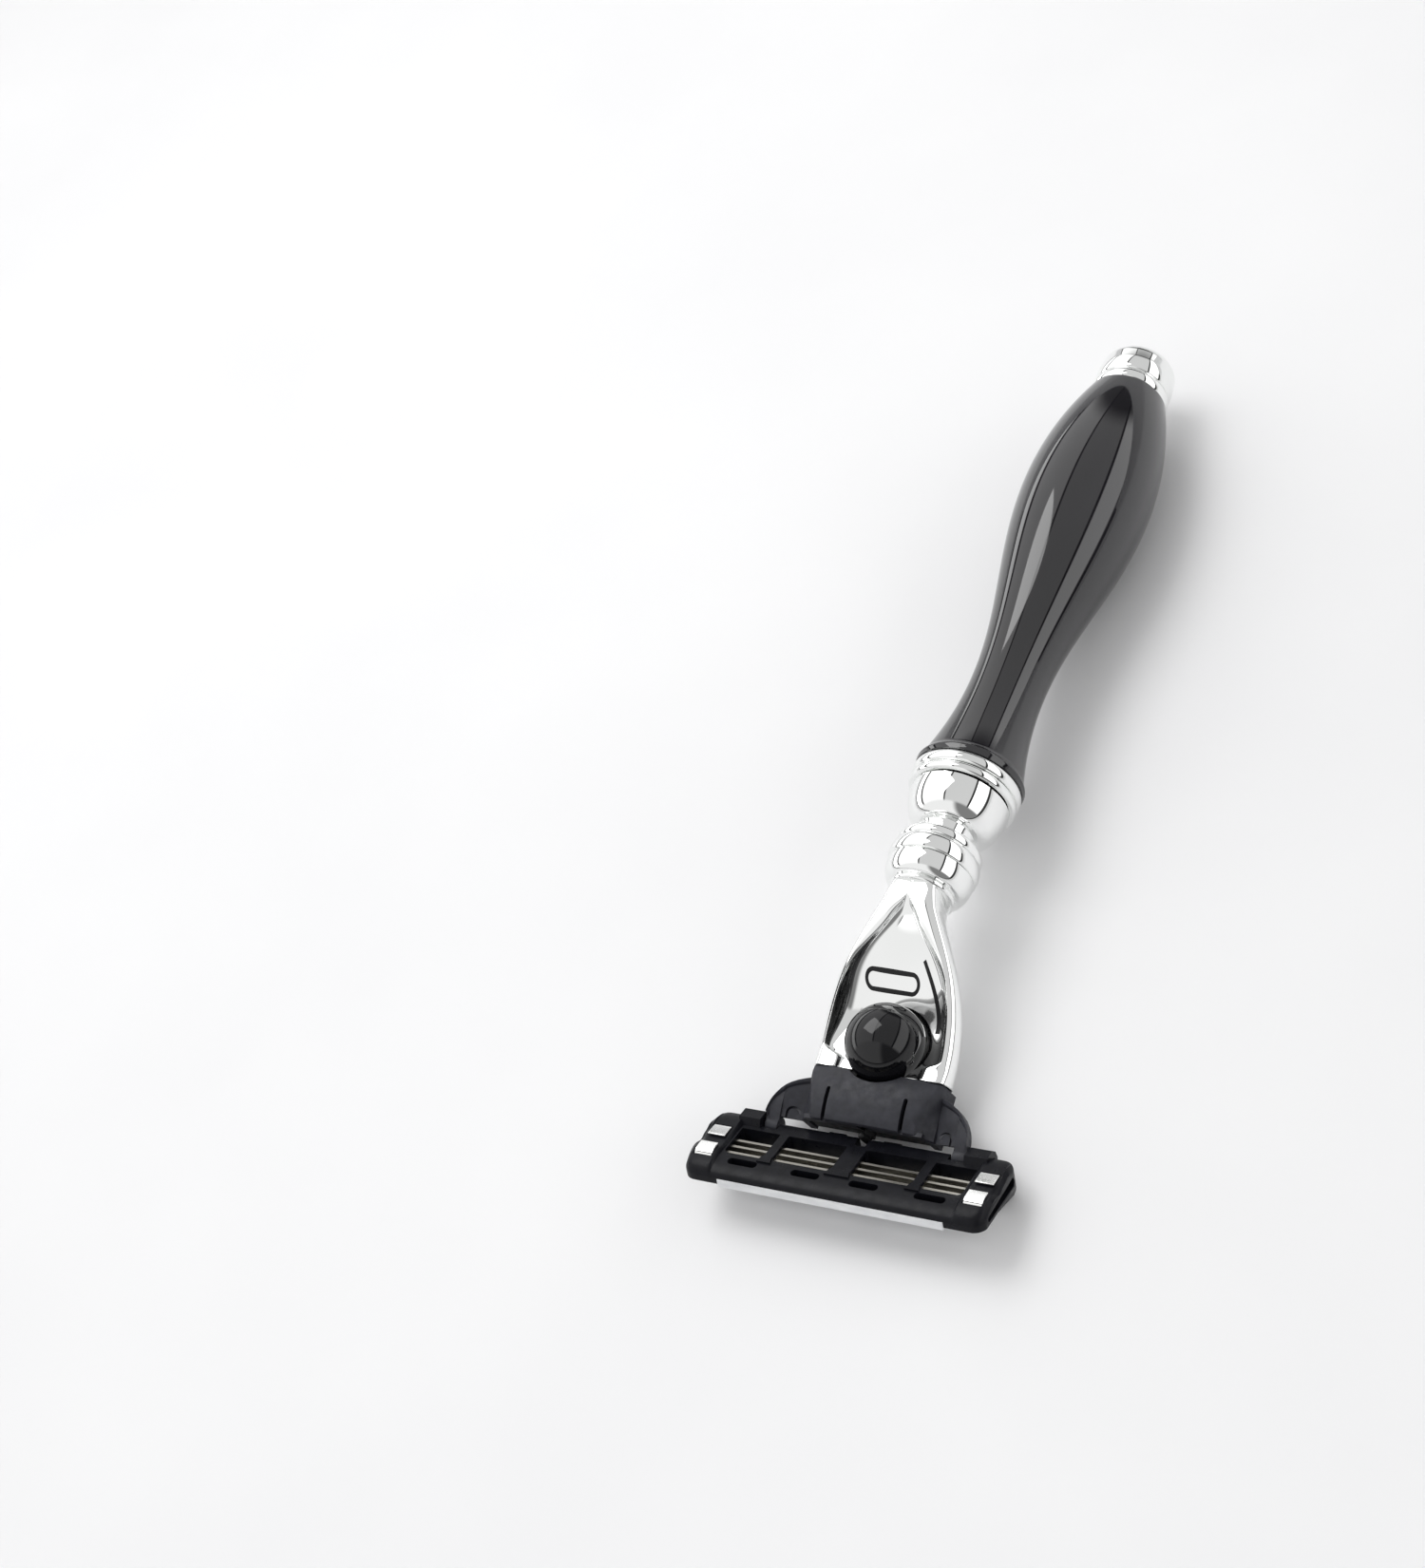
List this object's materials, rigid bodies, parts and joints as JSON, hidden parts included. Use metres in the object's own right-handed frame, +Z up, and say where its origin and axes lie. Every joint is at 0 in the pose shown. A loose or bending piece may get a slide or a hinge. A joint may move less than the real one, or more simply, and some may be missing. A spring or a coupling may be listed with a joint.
{
  "type": "cartridge razor",
  "caption": "Cartridge razor lying on its blades: waisted black resin grip, turned chrome ferrules, a dished chrome head with a ball button, and a pivoting multi-blade cartridge.",
  "frame": {"origin": "centre of the bounding box on the floor, with the razor lying on its guard and on the belly of its grip", "axes": "+X across the razor, +Y along the handle towards the end cap, +Z up, towards the button side"},
  "size_m": [0.0402, 0.138, 0.0191],
  "materials": {
    "chrome": "mirror polish",
    "resin_black": "polished",
    "button_black": "polished",
    "steel": "satin",
    "blade_steel": "ground",
    "clip_metal": "bright",
    "plastic_yoke": "fine satin",
    "plastic_housing": "fine satin",
    "plastic_inner": "matt",
    "rubber_guard": "matt",
    "strip_white": "slightly waxy"
  },
  "bodies": {
    "handle": {"end_cap": "chrome", "grip": "resin_black", "upper_ferrule": "chrome", "lower_ferrule": "chrome", "tie_rod": "steel", "head_body": "chrome", "nose_carrier": "plastic_inner"},
    "button": {"release_button": "button_black", "ejector": "plastic_inner", "ejector_screw": "steel", "ejector_spring": "steel"},
    "plunger": {"plunger": "plastic_inner", "plunger_spring": "steel"},
    "yoke": {"yoke": "plastic_yoke"},
    "cartridge": {"housing": "plastic_housing", "guard_fins": "rubber_guard", "lubricating_strip": "strip_white", "clip_left": "clip_metal", "clip_right": "clip_metal", "blade_1": "blade_steel", "blade_2": "blade_steel", "blade_3": "blade_steel", "blade_support_1": "steel", "blade_support_2": "steel", "blade_support_3": "steel"}
  },
  "joints": [
    {"name": "button_slide", "type": "slide", "parent": "handle", "child": "button", "axis": [0, -0.981, -0.1939], "range_m": [0, 0.0035], "stiffness_N_per_m": 350, "springref_m": -0.003, "deforming": ["ejector_spring"]},
    {"name": "cartridge_release", "type": "slide", "parent": "handle", "child": "yoke", "axis": [0, -0.981, -0.1939], "range_m": [0, 0.0035]},
    {"name": "cartridge_pivot", "type": "hinge", "parent": "yoke", "child": "cartridge", "pos_m": [0, -0.05822, 0.00311], "axis": [-1, 0, 0], "range_deg": [0, 45], "stiffness_Nm_per_rad": 0.008, "springref_deg": -34.38},
    {"name": "plunger_slide", "type": "slide", "parent": "handle", "child": "plunger", "axis": [0, 0.981, 0.1939], "range_m": [0, 0.0013], "deforming": ["plunger_spring"]}
  ],
  "couplings": [
    {"joint": "cartridge_release", "follows": "button_slide", "ratio": 1},
    {"joint": "plunger_slide", "follows": "cartridge_pivot", "m_per_rad": 0.0016}
  ]
}
